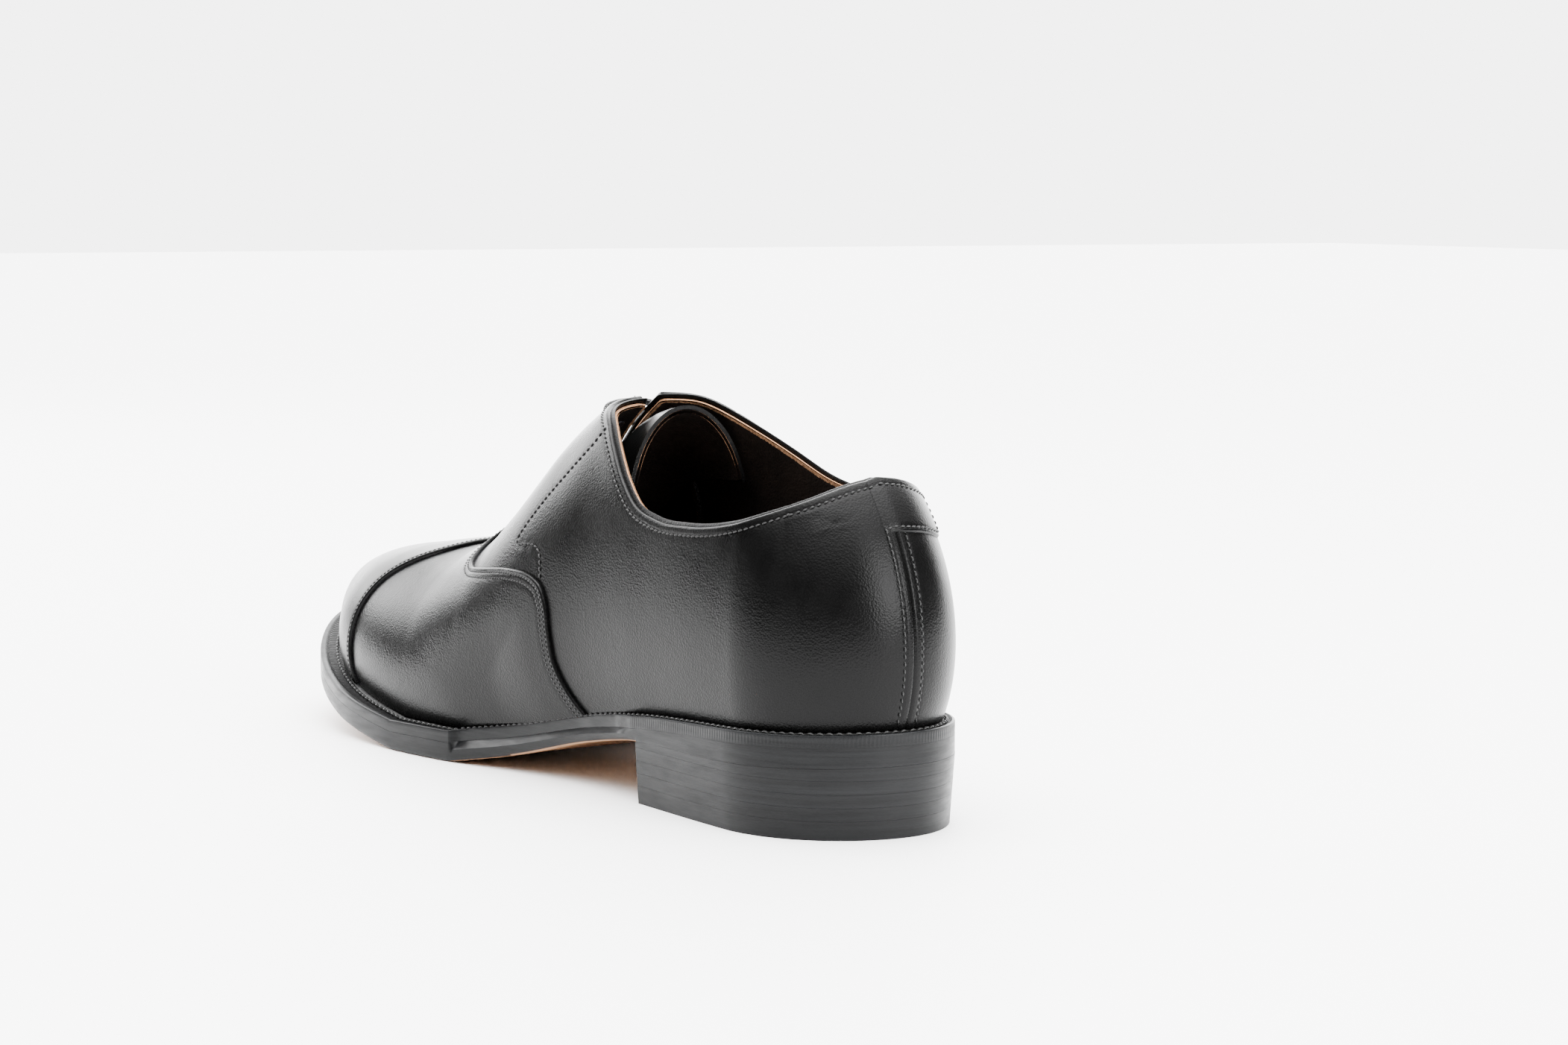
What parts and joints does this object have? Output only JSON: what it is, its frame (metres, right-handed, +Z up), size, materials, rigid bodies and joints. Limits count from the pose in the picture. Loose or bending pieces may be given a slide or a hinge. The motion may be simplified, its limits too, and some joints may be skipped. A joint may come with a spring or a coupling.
{
  "type": "leather oxford shoe",
  "caption": "Left cap-toe oxford shoe: black leather upper on a stitched welt, stacked heel, arched tongue on a hinge and straight-bar lacing.",
  "frame": {"origin": "on the ground under the middle of the shoe's box", "axes": "+X towards the toe, +Y towards the lateral (outer) side, +Z up"},
  "size_m": [0.3008, 0.1, 0.1118],
  "materials": {
    "black_calf": "polished",
    "sole_edge": "waxed edge",
    "tan_leather": "raw",
    "dark_lining": "suede",
    "stiffener": "raw",
    "cork": "granular",
    "steel": "plain",
    "brass": "plain",
    "eyelet": "enamelled",
    "lace": "waxed cotton",
    "aglet": "gloss"
  },
  "bodies": {
    "shoe": {"toe_cap": "black_calf", "vamp": "black_calf", "quarter_lateral": "black_calf", "quarter_medial": "black_calf", "topline_bead_lateral": "black_calf", "topline_bead_medial": "black_calf", "outsole": "sole_edge", "welt": "sole_edge", "heel_top_piece": "sole_edge", "heel_lift_1": "sole_edge", "heel_lift_2": "sole_edge", "heel_lift_3": "sole_edge", "heel_rand": "sole_edge", "insole": "tan_leather", "vamp_lining": "tan_leather", "sock_liner": "dark_lining", "quarter_lining_lateral": "dark_lining", "quarter_lining_medial": "dark_lining", "toe_puff": "stiffener", "heel_counter": "stiffener", "side_lining_lateral": "stiffener", "side_lining_medial": "stiffener", "facing_stay_lateral": "stiffener", "facing_stay_medial": "stiffener", "cork_filler": "cork", "shank": "steel", "heel_nail_1": "brass", "heel_nail_2": "brass", "heel_nail_3": "brass", "heel_nail_4": "brass", "heel_nail_5": "brass", "eyelet_lateral_1": "eyelet", "eyelet_lateral_2": "eyelet", "eyelet_lateral_3": "eyelet", "eyelet_lateral_4": "eyelet", "eyelet_lateral_5": "eyelet", "eyelet_medial_1": "eyelet", "eyelet_medial_2": "eyelet", "eyelet_medial_3": "eyelet", "eyelet_medial_4": "eyelet", "eyelet_medial_5": "eyelet", "lace": "lace", "aglet_lateral": "aglet", "aglet_medial": "aglet"},
    "tongue": {"tongue": "black_calf", "tongue_lining": "tan_leather"}
  },
  "joints": [
    {"name": "tongue_bend", "type": "hinge", "parent": "shoe", "child": "tongue", "pos_m": [0.013, -0.002, 0.066], "axis": [0, 1, 0], "range_deg": [-25, 0]}
  ]
}
